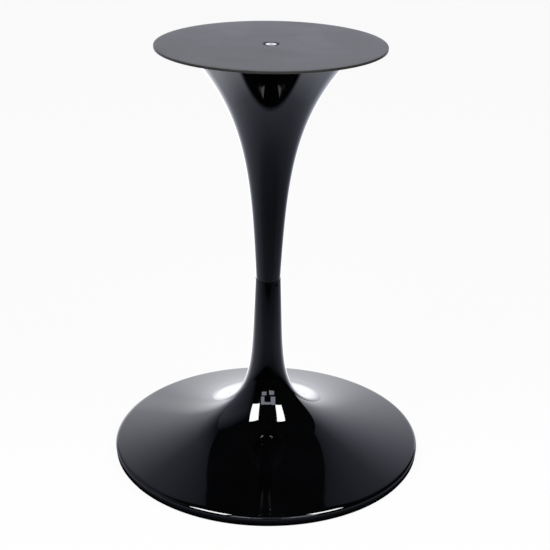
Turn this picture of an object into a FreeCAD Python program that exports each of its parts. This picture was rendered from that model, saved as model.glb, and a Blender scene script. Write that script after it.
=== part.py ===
"""Flared pedestal base for a round table, in millimetres.

A cast foot and a spun upper trumpet meet at a seam half way up the stem. A steel plate on the trumpet's
mouth carries the table top, and one tie rod through the hollow stem clamps plate, trumpet and foot together.
The origin is on the floor, on the stem's axis, with +Z up.
"""
import FreeCAD, Part
import os
import Sketcher
from FreeCAD import Vector

# Driving dimensions: name, millimetres or degrees, what the size is
DIMENSIONS = (
    ("base_height", 700, "floor to the face that the table top lies on"),
    ("seam_height", 311, "floor to the seam between foot and trumpet"),
    ("fit_gap", 0.1, "radial gap where two pieces fit together"),
    ("rim_radius", 260, "outer radius of the foot"),
    ("rim_height", 17, "floor to the corner of the rim before it is rounded"),
    ("rim_slope", 11, "degrees that the foot falls at its rim"),
    ("rim_pull", 234, "how far the rim's slope pulls the flare inwards"),
    ("rim_round", 6, "rounding of the rim's upper edge"),
    ("rim_tuck", 1.5, "how far the rim leans in towards the floor"),
    ("rim_foot_round", 1, "rounding of the rim's lower edge"),
    ("rim_width", 11, "width of the thick rim under the foot"),
    ("foot_neck_radius", 21, "radius of the foot at the seam"),
    ("neck_taper", 2.2, "degrees that the foot's neck widens downwards"),
    ("neck_length", 63, "length of the straight neck from the seam to the flare"),
    ("neck_pull", 157, "how far the neck's direction pulls the flare down"),
    ("foot_wall", 6, "wall of the cast foot"),
    ("web_thickness", 15, "thickness of the clamping web across the neck"),
    ("socket_radius", 17, "radius of the socket in the top of the neck"),
    ("socket_depth", 30, "depth of that socket"),
    ("trumpet_neck_radius", 20.2, "radius of the upper trumpet at the seam"),
    ("trumpet_taper", 2.6, "degrees that the trumpet widens upwards at the seam"),
    ("trumpet_pull", 190, "how far the neck's direction pulls the trumpet up"),
    ("mouth_radius", 134, "radius of the trumpet's mouth under the plate"),
    ("mouth_flare", 42.7, "degrees from upright that the mouth flares"),
    ("mouth_pull", 136.5, "how far the mouth's direction pulls the trumpet down"),
    ("trumpet_wall", 2, "wall of the spun trumpet"),
    ("spigot_rise", 25, "length of the spigot inside the trumpet"),
    ("spigot_drop", 25, "length of the spigot inside the foot's socket"),
    ("bridge_thickness", 5, "thickness of the disc across the trumpet's mouth"),
    ("bridge_hole_margin", 4, "room round the plate's dimple in that disc"),
    ("plate_radius", 180, "radius of the top plate"),
    ("plate_thickness", 4, "thickness of the top plate"),
    ("plate_edge_round", 0.8, "rounding of the top plate's edge"),
    ("dimple_radius", 14, "radius of the dimple pressed in the plate's centre"),
    ("dimple_floor_radius", 10.5, "radius of the dimple's floor"),
    ("dimple_depth", 3, "depth of the dimple"),
    ("sleeve_head_radius", 8.5, "radius of the sleeve nut's flat head"),
    ("sleeve_head_thickness", 2.7, "thickness of that head"),
    ("sleeve_radius", 6.4, "radius of the sleeve below the head"),
    ("sleeve_length", 28, "length of the sleeve below the head"),
    ("sleeve_key_width", 6, "width across flats of the sleeve nut's key socket"),
    ("sleeve_key_depth", 8, "depth of that socket"),
    ("sleeve_web", 2, "metal left between that socket and the sleeve's thread"),
    ("rod_radius", 5, "radius of the tie rod"),
    ("rod_hole_gap", 0.5, "radial gap round the rod where it passes a hole"),
    ("rod_grip", 18, "length of the rod screwed into the sleeve nut"),
    ("rod_tail", 10, "length of the rod below the clamp nut"),
    ("rod_chamfer", 1, "chamfer on the rod's ends"),
    ("washer_radius", 15.5, "radius of the clamp washer"),
    ("washer_thickness", 4, "thickness of the clamp washer"),
    ("spring_radius", 9, "radius of the spring washer"),
    ("spring_thickness", 2.6, "thickness of the spring washer"),
    ("spring_split", 2, "width of the split in the spring washer"),
    ("nut_width", 16, "width across flats of the clamp nut"),
    ("nut_height", 8.4, "height of the clamp nut"),
    ("nut_bevel", 30, "degrees of the bevel on the nut's corners"),
    ("grub_radius", 2.5, "radius of the grub screw in the neck"),
    ("grub_drop", 5.5, "distance of the grub screw below the seam"),
    ("grub_turn", 40, "degrees of the grub screw round from the front"),
    ("grub_recess", 0.6, "depth of the grub screw's face in the neck"),
    ("grub_key_width", 2.5, "width across flats of the grub screw's key socket"),
    ("grub_key_depth", 1.6, "depth of that socket"),
    ("ring_height", 2, "height that the floor ring holds the rim above the floor"),
    ("ring_width", 8, "width of the floor ring"),
    ("ring_rib_width", 3, "width of the rib that holds the floor ring"),
    ("ring_rib_height", 4, "height of that rib"),
)

# Places worked out from the driving dimensions
PLATE_UNDERSIDE = "(dims.base_height - dims.plate_thickness)"
DIMPLE_FLOOR = "(dims.base_height - dims.dimple_depth)"
DIMPLE_UNDERSIDE = "(dims.base_height - dims.dimple_depth - dims.plate_thickness)"
ROD_HOLE = "(dims.rod_radius + dims.rod_hole_gap)"
SLEEVE_HOLE = "(dims.sleeve_radius + dims.fit_gap)"
SOCKET_FLOOR = "(dims.seam_height - dims.socket_depth)"
FLARE_START = "(dims.seam_height - dims.neck_length)"
WEB_TOP = f"({FLARE_START} + dims.web_thickness)"
RING_RADIUS = "(dims.rim_radius - dims.rim_tuck - dims.rim_width / 2)"
WASHER_UNDERSIDE = f"({FLARE_START} - dims.washer_thickness)"
SPRING_UNDERSIDE = f"({WASHER_UNDERSIDE} - dims.spring_thickness)"
NUT_UNDERSIDE = f"({SPRING_UNDERSIDE} - dims.nut_height)"
SLEEVE_END = f"({DIMPLE_FLOOR} - dims.sleeve_length)"
ROD_TOP = f"({SLEEVE_END} + dims.rod_grip)"
ROD_END = f"({NUT_UNDERSIDE} - dims.rod_tail)"
ROD_LENGTH = f"({ROD_TOP} - {ROD_END})"
# A curve's inner handles move this share of the wall sideways, so that the wall keeps its thickness in the bend
BEND_SHARE = 0.55

doc = FreeCAD.newDocument("pedestal_base")
dims = doc.addObject("Spreadsheet::Sheet", "dims")
for row, (name, size, meaning) in enumerate(DIMENSIONS, start=1):
    dims.set(f"A{row}", name)
    dims.set(f"B{row}", str(size))
    dims.set(f"C{row}", meaning)
    dims.setAlias(f"B{row}", name)
doc.recompute()


def neck_radius(height):
    """Radius of the foot's straight neck at a height."""
    return f"(dims.foot_neck_radius + tan(dims.neck_taper) * (dims.seam_height - {height}))"


def new_body(label):
    body = doc.addObject("PartDesign::Body", label)
    body.Label = label
    return body


def new_sketch(body, name, plane_role):
    plane = next(item for item in body.Origin.OriginFeatures if item.Role == plane_role)
    sketch = body.newObject("Sketcher::SketchObject", name)
    sketch.AttachmentSupport = [(plane, "")]
    sketch.MapMode = "FlatFace"
    return sketch


def value_of(expression):
    number = dims.evalExpression(expression)
    return float(getattr(number, "Value", number))


def point_of(corner):
    return Vector(value_of(corner[0]), value_of(corner[1]), 0)


def hold_point(sketch, edge, end, corner):
    """Tie one point of a sketch to the two expressions of a corner."""
    for kind, expression in zip(("DistanceX", "DistanceY"), corner):
        index = sketch.addConstraint(Sketcher.Constraint(kind, -1, 1, edge, end, value_of(expression)))
        sketch.setExpression(f"Constraints[{index}]", expression)


def add_curve(sketch, start, handles, end):
    """A cubic curve between two corners, with its two handles tied to their expressions."""
    poles = [point_of(corner) for corner in (start, *handles, end)]
    curve = sketch.addGeometry(Part.BSplineCurve(poles, None, None, False, 3, None, False), False)
    sketch.exposeInternalGeometry(curve)
    for pole, corner in zip((curve + 2, curve + 3), handles):
        hold_point(sketch, pole, 3, corner)
    return curve


def draw_outline(sketch, corners, handles=None):
    """A closed outline through corners; handles gives the curve that follows a corner, by the corner's name."""
    handles = handles or {}
    names = list(corners)
    edges = []
    for name, following in zip(names, names[1:] + names[:1]):
        start, end = corners[name], corners[following]
        if name in handles:
            edges.append(add_curve(sketch, start, handles[name], end))
        else:
            edges.append(sketch.addGeometry(Part.LineSegment(point_of(start), point_of(end)), False))
    for edge, following, name in zip(edges, edges[1:] + edges[:1], names):
        sketch.addConstraint(Sketcher.Constraint("Coincident", edge, 2, following, 1))
        hold_point(sketch, edge, 1, corners[name])


def draw_circle(sketch, radius):
    circle = sketch.addGeometry(Part.Circle(Vector(0, 0, 0), Vector(0, 0, 1), value_of(radius)), False)
    sketch.addConstraint(Sketcher.Constraint("Coincident", circle, 3, -1, 1))
    index = sketch.addConstraint(Sketcher.Constraint("Radius", circle, value_of(radius)))
    sketch.setExpression(f"Constraints[{index}]", radius)


def draw_hexagon(sketch, width):
    """A hexagon round the origin, with a pair of flats that face along the sketch's X axis."""
    half, reach = f"({width} / 2)", f"({width} / sqrt(3))"
    draw_outline(sketch, {
        "top": ("0", reach),
        "upper_left": (f"-{half}", f"{reach} / 2"),
        "lower_left": (f"-{half}", f"-{reach} / 2"),
        "bottom": ("0", f"-{reach}"),
        "lower_right": (half, f"-{reach} / 2"),
        "upper_right": (half, f"{reach} / 2"),
    })


def revolve(body, name, corners, handles=None):
    """Turn an outline, given as radius and height, once round the Z axis."""
    sketch = new_sketch(body, f"{name}_outline", "XZ_Plane")
    draw_outline(sketch, corners, handles)
    feature = body.newObject("PartDesign::Revolution", name)
    feature.Profile = sketch
    feature.ReferenceAxis = (sketch, ["V_Axis"])
    feature.Angle = 360
    doc.recompute()
    return feature


def pad(body, name, sketch, length, reverse=False):
    feature = body.newObject("PartDesign::Pad", name)
    feature.Profile = sketch
    feature.setExpression("Length", length)
    feature.Reversed = reverse
    doc.recompute()
    return feature


def cut(body, name, sketch, depth, reverse=False):
    """Pocket a sketch into the body, and make sure that it took something away."""
    before = body.Shape.Volume
    feature = body.newObject("PartDesign::Pocket", name)
    feature.Profile = sketch
    feature.setExpression("Length", depth)
    feature.Reversed = reverse
    doc.recompute()
    if not body.Shape.Volume < before:
        raise RuntimeError(f"{name} cut nothing from {body.Label}")
    return feature


def turn_away(body, name, corners):
    """Cut an outline, given as radius and height, once round the Z axis."""
    before = body.Shape.Volume
    sketch = new_sketch(body, f"{name}_outline", "XZ_Plane")
    draw_outline(sketch, corners)
    feature = body.newObject("PartDesign::Groove", name)
    feature.Profile = sketch
    feature.ReferenceAxis = (sketch, ["V_Axis"])
    feature.Angle = 360
    doc.recompute()
    if not body.Shape.Volume < before:
        raise RuntimeError(f"{name} cut nothing from {body.Label}")


def ring_edge(shape, radius, height):
    """Name of the circular edge of this radius at this height."""
    target = Vector(value_of(radius), 0, value_of(height))
    distance = {}
    for number, edge in enumerate(shape.Edges, start=1):
        if isinstance(edge.Curve, Part.Circle):
            place = Vector(edge.Curve.Radius, 0, edge.Curve.Center.z)
            distance[f"Edge{number}"] = (place - target).Length
    return min(distance, key=distance.get)


def round_edges(body, name, places, radius):
    """Round the circular edges at these radii and heights."""
    base = body.Tip
    feature = body.newObject("PartDesign::Fillet", name)
    feature.Base = (base, [ring_edge(base.Shape, *place) for place in places])
    feature.setExpression("Radius", radius)
    doc.recompute()


def lift(body, height):
    body.setExpression(".Placement.Base.z", height)


def make_foot():
    body = new_body("foot")
    rim_toe = "(dims.rim_radius - dims.rim_tuck)"
    rim_inside = f"({rim_toe} - dims.rim_width)"
    groove_out = f"({RING_RADIUS} + dims.ring_rib_width / 2 + dims.fit_gap)"
    groove_in = f"({RING_RADIUS} - dims.ring_rib_width / 2 - dims.fit_gap)"
    groove_top = "(dims.ring_height + dims.ring_rib_height + dims.fit_gap)"
    throat = f"({neck_radius(FLARE_START)} - dims.foot_wall)"
    cavity_edge = (f"dims.rim_height + (dims.rim_radius - {rim_inside}) * tan(dims.rim_slope)"
                   " - dims.foot_wall / cos(dims.rim_slope)")
    down = (f"{neck_radius(FLARE_START)} + tan(dims.neck_taper) * dims.neck_pull",
            f"{FLARE_START} - dims.neck_pull")
    inward = ("dims.rim_radius - dims.rim_pull * cos(dims.rim_slope)",
              "dims.rim_height + dims.rim_pull * sin(dims.rim_slope)")
    down_inside = (f"{down[0]} - dims.foot_wall", f"{down[1]} - {BEND_SHARE} * dims.foot_wall")
    inward_inside = (f"{inward[0]} - {BEND_SHARE} * dims.foot_wall", f"{inward[1]} - dims.foot_wall")
    corners = {
        "seam": ("dims.foot_neck_radius", "dims.seam_height"),
        "flare": (neck_radius(FLARE_START), FLARE_START),
        "rim": ("dims.rim_radius", "dims.rim_height"),
        "toe": (rim_toe, "dims.ring_height"),
        "groove_mouth_out": (groove_out, "dims.ring_height"),
        "groove_out": (groove_out, groove_top),
        "groove_in": (groove_in, groove_top),
        "groove_mouth_in": (groove_in, "dims.ring_height"),
        "rim_inside": (rim_inside, "dims.ring_height"),
        "cavity": (rim_inside, cavity_edge),
        "throat": (throat, FLARE_START),
        "rod_hole": (ROD_HOLE, FLARE_START),
        "rod_hole_top": (ROD_HOLE, WEB_TOP),
        "core": (f"{neck_radius(WEB_TOP)} - dims.foot_wall", WEB_TOP),
        "core_top": (f"{neck_radius(SOCKET_FLOOR)} - dims.foot_wall", SOCKET_FLOOR),
        "socket": ("dims.socket_radius", SOCKET_FLOOR),
        "socket_mouth": ("dims.socket_radius", "dims.seam_height"),
    }
    revolve(body, "casting", corners, {"flare": (down, inward), "cavity": (inward_inside, down_inside)})
    round_edges(body, "rim_rounding", [("dims.rim_radius", "dims.rim_height")], "dims.rim_round")
    round_edges(body, "toe_rounding", [(rim_toe, "dims.ring_height")], "dims.rim_foot_round")
    screw_hole = new_sketch(body, "grub_hole_outline", "XZ_Plane")
    screw_hole.setExpression(".AttachmentOffset.Base.y", "dims.seam_height - dims.grub_drop")
    draw_circle(screw_hole, "dims.grub_radius + dims.fit_gap")
    cut(body, "grub_hole", screw_hole, "2 * dims.foot_neck_radius", reverse=True)
    body.setExpression(".Placement.Rotation.Angle", "dims.grub_turn")
    return body


def make_floor_ring():
    body = new_body("floor_ring")
    inside, outside = f"{RING_RADIUS} - dims.ring_width / 2", f"{RING_RADIUS} + dims.ring_width / 2"
    rib_in, rib_out = f"{RING_RADIUS} - dims.ring_rib_width / 2", f"{RING_RADIUS} + dims.ring_rib_width / 2"
    rib_top = "dims.ring_height + dims.ring_rib_height"
    revolve(body, "ring", {
        "floor_in": (inside, "0"),
        "floor_out": (outside, "0"),
        "shoulder_out": (outside, "dims.ring_height"),
        "rib_foot_out": (rib_out, "dims.ring_height"),
        "rib_out": (rib_out, rib_top),
        "rib_in": (rib_in, rib_top),
        "rib_foot_in": (rib_in, "dims.ring_height"),
        "shoulder_in": (inside, "dims.ring_height"),
    })
    return body


def make_upper_trumpet():
    body = new_body("upper_trumpet")
    up = ("dims.trumpet_neck_radius + tan(dims.trumpet_taper) * dims.trumpet_pull",
          "dims.seam_height + dims.trumpet_pull")
    back = ("dims.mouth_radius - dims.mouth_pull * sin(dims.mouth_flare)",
            f"{PLATE_UNDERSIDE} - dims.mouth_pull * cos(dims.mouth_flare)")
    up_inside = (f"{up[0]} - dims.trumpet_wall", up[1])
    back_inside = (f"{back[0]} - dims.trumpet_wall * cos(dims.mouth_flare)",
                   f"{back[1]} + dims.trumpet_wall * sin(dims.mouth_flare)")
    corners = {
        "seam": ("dims.trumpet_neck_radius", "dims.seam_height"),
        "mouth": ("dims.mouth_radius", PLATE_UNDERSIDE),
        "mouth_inside": ("dims.mouth_radius - dims.trumpet_wall / cos(dims.mouth_flare)", PLATE_UNDERSIDE),
        "seam_inside": ("dims.trumpet_neck_radius - dims.trumpet_wall", "dims.seam_height"),
    }
    revolve(body, "spinning", corners, {"seam": (up, back), "mouth_inside": (back_inside, up_inside)})
    return body


def make_neck_spigot():
    body = new_body("neck_spigot")
    plug = "(dims.trumpet_neck_radius - dims.trumpet_wall - dims.fit_gap)"
    drop = "dims.socket_radius - dims.fit_gap"
    revolve(body, "turning", {
        "lower_bore": (ROD_HOLE, "dims.seam_height - dims.spigot_drop"),
        "lower_end": (drop, "dims.seam_height - dims.spigot_drop"),
        "under_shoulder": (drop, "dims.seam_height"),
        "shoulder": (plug, "dims.seam_height"),
        "upper_end": (f"{plug} + tan(dims.trumpet_taper) * dims.spigot_rise",
                      "dims.seam_height + dims.spigot_rise"),
        "upper_bore": (ROD_HOLE, "dims.seam_height + dims.spigot_rise"),
    })
    return body


def make_mouth_bridge():
    body = new_body("mouth_bridge")
    edge = "(dims.mouth_radius - dims.trumpet_wall / cos(dims.mouth_flare) - dims.fit_gap)"
    hole = "dims.dimple_radius + dims.bridge_hole_margin"
    underside = f"{PLATE_UNDERSIDE} - dims.bridge_thickness"
    revolve(body, "disc", {
        "hole_lower": (hole, underside),
        "edge_lower": (f"{edge} - tan(dims.mouth_flare) * dims.bridge_thickness", underside),
        "edge_upper": (edge, PLATE_UNDERSIDE),
        "hole_upper": (hole, PLATE_UNDERSIDE),
    })
    return body


def make_top_plate():
    body = new_body("top_plate")
    revolve(body, "pressing", {
        "hole_lower": (SLEEVE_HOLE, DIMPLE_UNDERSIDE),
        "dimple_lower": ("dims.dimple_floor_radius", DIMPLE_UNDERSIDE),
        "dimple_root": ("dims.dimple_radius", PLATE_UNDERSIDE),
        "edge_lower": ("dims.plate_radius", PLATE_UNDERSIDE),
        "edge_upper": ("dims.plate_radius", "dims.base_height"),
        "dimple_edge": ("dims.dimple_radius", "dims.base_height"),
        "dimple_floor": ("dims.dimple_floor_radius", DIMPLE_FLOOR),
        "hole_upper": (SLEEVE_HOLE, DIMPLE_FLOOR),
    })
    edges = [("dims.plate_radius", PLATE_UNDERSIDE), ("dims.plate_radius", "dims.base_height")]
    round_edges(body, "edge_rounding", edges, "dims.plate_edge_round")
    return body


def make_sleeve_nut():
    """A flat head with a key socket, on a threaded sleeve that reaches down from the dimple's floor."""
    body = new_body("sleeve_nut")
    bore = "dims.rod_radius + dims.fit_gap"
    bore_end = "dims.sleeve_head_thickness - dims.sleeve_key_depth - dims.sleeve_web"
    revolve(body, "turning", {
        "bore_lower": (bore, "-dims.sleeve_length"),
        "sleeve_lower": ("dims.sleeve_radius", "-dims.sleeve_length"),
        "head_root": ("dims.sleeve_radius", "0"),
        "head_lower": ("dims.sleeve_head_radius", "0"),
        "head_upper": ("dims.sleeve_head_radius", "dims.sleeve_head_thickness"),
        "head_centre": ("0", "dims.sleeve_head_thickness"),
        "bore_centre": ("0", bore_end),
        "bore_upper": (bore, bore_end),
    })
    key = new_sketch(body, "key_outline", "XY_Plane")
    key.setExpression(".AttachmentOffset.Base.z", "dims.sleeve_head_thickness")
    draw_hexagon(key, "dims.sleeve_key_width")
    cut(body, "key", key, "dims.sleeve_key_depth")
    lift(body, DIMPLE_FLOOR)
    return body


def make_tie_rod():
    body = new_body("tie_rod")
    sketch = new_sketch(body, "rod_outline", "XY_Plane")
    draw_circle(sketch, "dims.rod_radius")
    rod = pad(body, "rod", sketch, ROD_LENGTH)
    chamfer = body.newObject("PartDesign::Chamfer", "rod_ends")
    chamfer.Base = (rod, [ring_edge(rod.Shape, "dims.rod_radius", height) for height in ("0", ROD_LENGTH)])
    chamfer.setExpression("Size", "dims.rod_chamfer")
    lift(body, ROD_END)
    return body


def make_clamp_washer():
    body = new_body("clamp_washer")
    revolve(body, "washer", {
        "hole_lower": (ROD_HOLE, "0"),
        "edge_lower": ("dims.washer_radius", "0"),
        "edge_upper": ("dims.washer_radius", "dims.washer_thickness"),
        "hole_upper": (ROD_HOLE, "dims.washer_thickness"),
    })
    lift(body, WASHER_UNDERSIDE)
    return body


def make_spring_washer():
    body = new_body("spring_washer")
    hole = "dims.rod_radius + dims.fit_gap"
    revolve(body, "washer", {
        "hole_lower": (hole, "0"),
        "edge_lower": ("dims.spring_radius", "0"),
        "edge_upper": ("dims.spring_radius", "dims.spring_thickness"),
        "hole_upper": (hole, "dims.spring_thickness"),
    })
    split = new_sketch(body, "split_outline", "XY_Plane")
    half, reach = "(dims.spring_split / 2)", "2 * dims.spring_radius"
    draw_outline(split, {
        "near_left": ("0", f"-{half}"),
        "far_left": (reach, f"-{half}"),
        "far_right": (reach, half),
        "near_right": ("0", half),
    })
    cut(body, "split", split, "dims.spring_thickness", reverse=True)
    lift(body, SPRING_UNDERSIDE)
    return body


def make_clamp_nut():
    """A hexagon nut, its corners bevelled at both faces by the cone that a lathe leaves."""
    body = new_body("clamp_nut")
    flats = new_sketch(body, "flats_outline", "XY_Plane")
    draw_hexagon(flats, "dims.nut_width")
    pad(body, "hexagon", flats, "dims.nut_height")
    thread = new_sketch(body, "thread_outline", "XY_Plane")
    draw_circle(thread, "dims.rod_radius + dims.fit_gap")
    cut(body, "thread", thread, "dims.nut_height", reverse=True)
    half, beyond = "(dims.nut_width / 2)", "dims.nut_width"
    fall = f"(({beyond} - {half}) * tan(dims.nut_bevel))"
    turn_away(body, "upper_bevel", {
        "flat": (half, "dims.nut_height"),
        "out": (beyond, f"dims.nut_height - {fall}"),
        "over": (beyond, "dims.nut_height"),
    })
    turn_away(body, "lower_bevel", {
        "flat": (half, "0"),
        "under": (beyond, "0"),
        "out": (beyond, fall),
    })
    lift(body, NUT_UNDERSIDE)
    return body


def make_grub_screw():
    """A headless screw: its key face is the local origin, and it lies in the foot's own hole."""
    body = new_body("grub_screw")
    height = "(dims.seam_height - dims.grub_drop)"
    face = f"({neck_radius(height)} - dims.grub_recess)"
    shank = new_sketch(body, "shank_outline", "XY_Plane")
    draw_circle(shank, "dims.grub_radius")
    pad(body, "shank", shank, f"{face} - (dims.socket_radius - dims.fit_gap)", reverse=True)
    key = new_sketch(body, "key_outline", "XY_Plane")
    draw_hexagon(key, "dims.grub_key_width")
    cut(body, "key", key, "dims.grub_key_depth")
    body.setExpression(".Placement", "placement(vector(0; 0; 0); rotation(vector(0; 0; 1); dims.grub_turn))"
                       f" * placement(vector(0; -{face}; {height}); rotation(vector(1; 0; 0); 90))")
    return body


MAKERS = (make_foot, make_floor_ring, make_upper_trumpet, make_neck_spigot, make_mouth_bridge, make_top_plate,
          make_sleeve_nut, make_tie_rod, make_clamp_washer, make_spring_washer, make_clamp_nut, make_grub_screw)
bodies = [maker() for maker in MAKERS]
doc.recompute()

failed = [item.Label for item in doc.Objects if {"Invalid", "Error"} & set(item.State)]
if failed:
    raise RuntimeError(f"not built: {', '.join(failed)}")
for body in bodies:
    if body.Shape.isNull() or not body.Shape.isValid():
        raise RuntimeError(f"{body.Label} has no valid shape")

os.makedirs("parts", exist_ok=True)
for body in bodies:
    body.Shape.exportStep(f"parts/{body.Label}.step")
    box = body.Shape.optimalBoundingBox()
    print(f"{body.Label}: {len(body.Shape.Solids)} solid, {body.Shape.Volume / 1000:.1f} cm3,"
          f" radius {box.XMax:.2f}, height {box.ZMin:.2f} to {box.ZMax:.2f}")
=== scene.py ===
"""Looks of a flared pedestal table base: lacquered shells, bright fixings, a paper sweep and the camera.

Lengths are in metres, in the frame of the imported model: the floor is z = 0, the stem stands along +Z, and the
viewer is on the -Y side. Profiles are given as radius and height in millimetres, as a turner measures them.
"""
import math

import bmesh
import bpy
from mathutils import Matrix, Vector


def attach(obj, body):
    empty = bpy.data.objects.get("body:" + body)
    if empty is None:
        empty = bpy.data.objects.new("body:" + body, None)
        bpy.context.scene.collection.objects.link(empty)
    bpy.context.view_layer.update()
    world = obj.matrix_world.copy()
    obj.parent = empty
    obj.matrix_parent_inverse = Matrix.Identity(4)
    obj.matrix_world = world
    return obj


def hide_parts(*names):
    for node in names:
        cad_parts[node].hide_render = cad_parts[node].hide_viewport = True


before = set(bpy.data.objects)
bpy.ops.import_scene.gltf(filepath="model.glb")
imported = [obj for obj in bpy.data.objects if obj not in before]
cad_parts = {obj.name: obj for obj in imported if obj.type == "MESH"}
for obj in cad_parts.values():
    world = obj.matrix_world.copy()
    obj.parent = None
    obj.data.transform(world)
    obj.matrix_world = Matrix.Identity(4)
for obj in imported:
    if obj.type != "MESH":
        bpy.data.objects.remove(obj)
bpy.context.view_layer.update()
scene = bpy.context.scene
MM = 0.001

# Stem and seam
TOP_HEIGHT = 700
SEAM_HEIGHT = 311
# Foot
FOOT_NECK_RADIUS = 21
NECK_TAPER = math.radians(2.2)
NECK_LENGTH = 63
NECK_PULL = 157
RIM_RADIUS = 260
RIM_HEIGHT = 17
RIM_SLOPE = math.radians(11)
RIM_PULL = 234
RIM_ROUND = 6
RIM_TUCK = 1.5
RIM_TOE_ROUND = 1
RIM_WIDTH = 11
FOOT_WALL = 6
BEND_SHARE = 0.55
WEB_THICKNESS = 15
SOCKET_RADIUS = 17
SOCKET_DEPTH = 30
ROD_HOLE_RADIUS = 5.5
SCREW_HOLE_RADIUS = 2.6
SCREW_HOLE_DROP = 5.5
SCREW_HOLE_TURN = math.radians(40)
# Floor ring
RING_HEIGHT = 2
RING_WIDTH = 8
RING_ROUND = 0.5
RIB_WIDTH = 3
RIB_HEIGHT = 4
RIB_GAP = 0.1
# Upper trumpet
TRUMPET_NECK_RADIUS = 20.2
TRUMPET_TAPER = math.radians(2.6)
TRUMPET_PULL = 190
MOUTH_RADIUS = 134
MOUTH_FLARE = math.radians(42.7)
MOUTH_PULL = 136.5
TRUMPET_WALL = 2
# Top plate
PLATE_RADIUS = 180
PLATE_THICKNESS = 4
PLATE_EDGE_ROUND = 0.8
DIMPLE_RADIUS = 14
DIMPLE_FLOOR_RADIUS = 10.5
DIMPLE_DEPTH = 3
DIMPLE_ROUND = 1.2
SLEEVE_HOLE_RADIUS = 6.5
# Tie rod
ROD_RADIUS = 5
ROD_END = 223
ROD_TOP = 687
ROD_CHAMFER = 1
THREAD_PITCH = 1.5
THREAD_DEPTH = 0.9
THREAD_LENGTH = 60
THREAD_RUN_OUT = 1.0
# How finely a surface is turned: facets round the axis, and rows along each kind of stretch
FACETS = 256
CURVE_ROWS = 140
INSIDE_ROWS = 60
NECK_ROWS = 30
FACE_ROWS = 16
ROUND_ROWS = 10
RING_ROWS = 4
LINE_ROWS = 2
DRILL_FACETS = 48
THREAD_FACETS = 32
THREAD_ROWS = 8
# How close two points are welded, how thin a sliver is dropped, and where an edge counts as sharp
WELD = 0.002
SLIVER = 0.001
SHARP_ANGLE = math.radians(32)


# Profiles of turned pieces
def spot(radius, height):
    return Vector((radius * MM, 0, height * MM))


def straight(start, end):
    """Four poles of a straight stretch."""
    return start, start.lerp(end, 1 / 3), start.lerp(end, 2 / 3), end


def rounded(came_from, corner, goes_to, radius):
    """Four poles of the arc that rounds a corner."""
    back = (came_from - corner).normalized()
    ahead = (goes_to - corner).normalized()
    turn = math.pi - back.angle(ahead)
    reach = radius * MM * math.tan(turn / 2)
    pull = radius * MM * math.tan(turn / 4) * 4 / 3
    start, end = corner + back * reach, corner + ahead * reach
    return start, start - back * pull, end - ahead * pull, end


def shortened(poles, share):
    """The first share of a cubic stretch, as four poles."""
    a, b, c, d = poles
    ab, bc, cd = a.lerp(b, share), b.lerp(c, share), c.lerp(d, share)
    abc, bcd = ab.lerp(bc, share), bc.lerp(cd, share)
    return a, ab, abc, abc.lerp(bcd, share)


def foot_neck_radius(height):
    return FOOT_NECK_RADIUS + math.tan(NECK_TAPER) * (SEAM_HEIGHT - height)


# Node trees
def add_node(tree, kind, inputs=None, **settings):
    """A node with its settings, and its inputs linked or set by name or place."""
    node = tree.nodes.new(kind)
    for name, value in settings.items():
        setattr(node, name, value)
    for name, value in (inputs or {}).items():
        socket = node.inputs[name]
        if isinstance(value, bpy.types.NodeSocket):
            tree.links.new(value, socket)
        else:
            socket.default_value = value
    return node


def blend_vectors(tree, share, first, second):
    node = add_node(tree, "ShaderNodeMix", {0: share, 4: first, 5: second}, data_type="VECTOR")
    return node.outputs[1]


def math_node(tree, operation, first, second):
    return add_node(tree, "ShaderNodeMath", {0: first, 1: second}, operation=operation).outputs[0]


def apart(tree, vector):
    """The x, y and z of a vector."""
    return add_node(tree, "ShaderNodeSeparateXYZ", {0: vector}).outputs


def new_tree(name, kind, inputs, outputs):
    """A node group with named sockets, and its two ends."""
    tree = bpy.data.node_groups.new(name, kind)
    for in_out, sockets in (("INPUT", inputs), ("OUTPUT", outputs)):
        for socket_name, socket_type in sockets.items():
            tree.interface.new_socket(name=socket_name, in_out=in_out, socket_type=socket_type)
    return tree, tree.nodes.new("NodeGroupInput"), tree.nodes.new("NodeGroupOutput")


def new_stretch_tree(name, own_inputs):
    """A tree that adds one stretch of surface: its own inputs, and those that every stretch has."""
    return new_tree(name, "GeometryNodeTree", {
        "Geometry": "NodeSocketGeometry",
        **own_inputs,
        "Rows": "NodeSocketInt",
        "Facets": "NodeSocketInt",
        "Finish": "NodeSocketMaterial",
    }, {"Geometry": "NodeSocketGeometry"})


def flat_grid(tree, given):
    """A grid to be bent into a stretch, with the share along the stretch and the share of a turn around it."""
    columns = math_node(tree, "ADD", given.outputs["Facets"], 1)
    grid = add_node(tree, "GeometryNodeMeshGrid", {
        "Size X": 1, "Size Y": 1, "Vertices X": given.outputs["Rows"], "Vertices Y": columns})
    place = apart(tree, grid.outputs["UV Map"])
    return grid.outputs["Mesh"], place[0], place[1]


def join_turned(tree, given, result, grid, profile, around):
    """Carry a profile once round the axis, give the surface its finish and join it to what came in."""
    turn = math_node(tree, "MULTIPLY", around, 2 * math.pi)
    turned = add_node(tree, "ShaderNodeVectorRotate", {
        "Vector": profile, "Angle": turn}, rotation_type="Z_AXIS")
    surface = add_node(tree, "GeometryNodeSetPosition", {"Geometry": grid, "Position": turned.outputs[0]})
    joined = add_node(tree, "GeometryNodeJoinGeometry", {0: given.outputs["Geometry"]})
    real = add_node(tree, "GeometryNodeRealizeInstances", {"Geometry": surface.outputs[0]})
    finished = add_node(tree, "GeometryNodeSetMaterial", {
        "Geometry": real.outputs[0], "Material": given.outputs["Finish"]})
    tree.links.new(finished.outputs[0], joined.inputs[0])
    tree.links.new(joined.outputs[0], result.inputs[0])


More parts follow.
